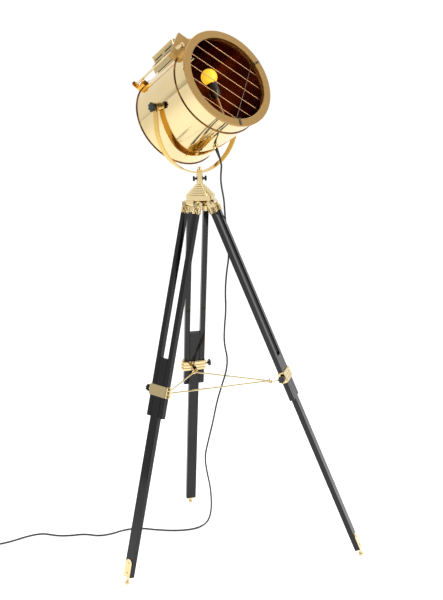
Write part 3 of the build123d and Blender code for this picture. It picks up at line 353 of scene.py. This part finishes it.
def smooth_line(name, route, samples):
    """The points along a smooth curve that a route's points pull into shape."""
    curve = bpy.data.curves.new(name + "_line", "CURVE")
    curve.dimensions = "3D"
    curve.resolution_u = samples
    spline = curve.splines.new("NURBS")
    spline.points.add(len(route) - 1)
    for point, place in zip(spline.points, route):
        point.co = (*place, 1)
    spline.order_u = 3
    spline.use_endpoint_u = True
    line = bpy.data.objects.new(name + "_line", curve)
    bpy.context.scene.collection.objects.link(line)
    bpy.context.view_layer.update()
    mesh = bpy.data.meshes.new_from_object(line)
    path = [v.co.copy() for v in mesh.vertices]
    bpy.data.objects.remove(line)
    bpy.data.meshes.remove(mesh)
    return path


def flex_tube(name, path, radius, sides=12):
    """A closed round tube that follows a path, with its ends capped."""
    bm = bmesh.new()
    rings, normal = [], None
    for i, here in enumerate(path):
        tangent = (path[min(i + 1, len(path) - 1)] - path[max(i - 1, 0)]).normalized()
        if normal is None:
            normal = tangent.orthogonal().normalized()
        normal = (normal - tangent * normal.dot(tangent)).normalized()
        side = tangent.cross(normal)
        turns = [2 * pi * k / sides for k in range(sides)]
        rings.append([bm.verts.new(here + (normal * cos(t) + side * sin(t)) * radius) for t in turns])
    for a, b in zip(rings, rings[1:]):
        for k in range(sides):
            bm.faces.new((a[k], a[(k + 1) % sides], b[(k + 1) % sides], b[k]))
    bm.faces.new(list(reversed(rings[0])))
    bm.faces.new(rings[-1])
    bmesh.ops.recalc_face_normals(bm, faces=bm.faces)
    mesh = bpy.data.meshes.new(name)
    bm.to_mesh(mesh)
    bm.free()
    for face in mesh.polygons:
        face.use_smooth = len(face.vertices) == 4
    tube = bpy.data.objects.new(name, mesh)
    bpy.context.scene.collection.objects.link(tube)
    return tube


# Black PVC sheath, extruded: an even satin skin with a faint orange peel.
pvc_sheath, tree, shader = new_material("pvc_sheath")
shader.inputs["Base Color"].default_value = srgb("#1d1c1f")
shader.inputs["Roughness"].default_value = 0.42
skin_relief(tree, shader, 900.0, 0.12, 0.0004)
finish_with(pvc_sheath, "plug", "cord_tie", "strain_relief")
finish_with(polished_brass, "cable_gland")

upper_path = smooth_line("upper_cord", upper_route, 10)
lower_path = smooth_line("lower_cord", lower_route, 8)
upper_cord = flex_tube("hanging_cord", upper_path, CORD_R)
lower_cord = flex_tube("trailing_cord", lower_path, CORD_R)
finish_with(pvc_sheath, upper_cord, lower_cord)
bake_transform(upper_cord)
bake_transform(lower_cord)
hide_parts("cord_upper")
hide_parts("cord_lower", "cord_coil")

# ---- Studio ---------------------------------------------------------------------------------
# A plain white floor under a soft white surround, dimmer on the viewer's side and broken by
# four dark gaps that the polished brass takes as thin lines. The camera stands in front.
EYE = HUB + Vector((-15.633, -3253.83, 1647.64)) * MM
YAW, PITCH, ROLL = radians(-1.278), radians(13.404), radians(-1.926)
FOCAL, IMAGE_HEIGHT = 1007.63, 600

level_right = Vector((cos(YAW), sin(YAW), 0))
level_ahead = Vector((-sin(YAW), cos(YAW), 0))
ahead = level_ahead * cos(PITCH) - Vector((0, 0, 1)) * sin(PITCH)
upright = level_ahead * sin(PITCH) + Vector((0, 0, 1)) * cos(PITCH)
right = level_right * cos(ROLL) + upright * sin(ROLL)
above = upright * cos(ROLL) - level_right * sin(ROLL)
lens = bpy.data.cameras.new("camera")
lens.sensor_fit = "VERTICAL"
lens.sensor_height = 24
lens.lens = FOCAL * lens.sensor_height / IMAGE_HEIGHT
lens.clip_end = 60
camera = bpy.data.objects.new("camera", lens)
camera.matrix_world = Matrix.Translation(EYE) @ Matrix((right, above, -ahead)).transposed().to_4x4()
bpy.context.scene.collection.objects.link(camera)
bpy.context.scene.camera = camera

bpy.ops.mesh.primitive_plane_add(size=60, location=(0, 0, 0))
floor = bpy.context.object
floor.name = "studio_floor"
bpy.ops.object.transform_apply(location=True, rotation=True, scale=True)
backdrop_paper, tree, shader = new_material("backdrop_paper")
shader.inputs["Base Color"].default_value = (0.93, 0.93, 0.93, 1)
shader.inputs["Roughness"].default_value = 0.9
shader.inputs["Specular IOR Level"].default_value = 0.0
shader.inputs["Emission Color"].default_value = (1, 1, 1, 1)
shader.inputs["Emission Strength"].default_value = 0.42
finish_with(backdrop_paper, floor)

world = bpy.data.worlds.new("studio")
world.use_nodes = True
bpy.context.scene.world = world
tree = world.node_tree
place = add_node(tree, "ShaderNodeTexCoord")
axes = add_node(tree, "ShaderNodeSeparateXYZ", [("Vector", (place, "Generated"))])
front = add_node(tree, "ShaderNodeMath", [(0, (axes, "Y"))], operation="MULTIPLY")
front.inputs[1].default_value = -1.0
bearing = add_node(tree, "ShaderNodeMath", [(0, (axes, "X")), (1, (front, "Value"))],
                   operation="ARCTAN2")
turn = add_node(tree, "ShaderNodeMapRange", [("Value", (bearing, "Value"))],
                in_From_Min=-pi, in_From_Max=pi)
surround = add_node(tree, "ShaderNodeValToRGB", [("Fac", (turn, "Result"))])
# Grey of the surround once round, from behind the lamp past its left, front and right.
shades = [(0.0, 1.0), (0.20, 1.0), (0.22, 0.55), (0.30, 0.7), (0.31, 0.02), (0.335, 0.02), (0.345, 0.6),
          (0.39, 0.5), (0.40, 0.02), (0.44, 0.02), (0.45, 0.35), (0.5, 0.15), (0.56, 0.3), (0.57, 0.02),
          (0.60, 0.02), (0.61, 0.7), (0.68, 0.9), (0.69, 0.1), (0.705, 0.1), (0.715, 1.0), (1.0, 1.0)]
ramp = surround.color_ramp
while len(ramp.elements) < len(shades):
    ramp.elements.new(0.5)
for stop, (position, grey) in zip(ramp.elements, shades):
    stop.position = position
    stop.color = (grey, grey, grey, 1)
tree.links.new(tree.nodes["Background"].inputs["Color"], surround.outputs["Color"])
tree.nodes["Background"].inputs["Strength"].default_value = 1.02


def soft_box(name, place, target, size, watts):
    light = bpy.data.lights.new(name, "AREA")
    light.shape = "RECTANGLE"
    light.size, light.size_y = size
    light.energy = watts
    lamp = bpy.data.objects.new(name, light)
    lamp.location = place
    lamp.rotation_euler = (Vector(target) - Vector(place)).to_track_quat("-Z", "Y").to_euler()
    bpy.context.scene.collection.objects.link(lamp)


soft_box("key", (-2.4, -2.4, 3.0), (0, 0, 1.0), (1.2, 1.6), 50)
soft_box("fill", (2.8, -1.8, 2.2), (0, 0, 1.0), (0.8, 2.2), 25)
soft_box("overhead", (0, 0.5, 4.2), (0, 0, 0), (3.0, 3.0), 50)
bpy.context.scene.view_settings.view_transform = "Standard"
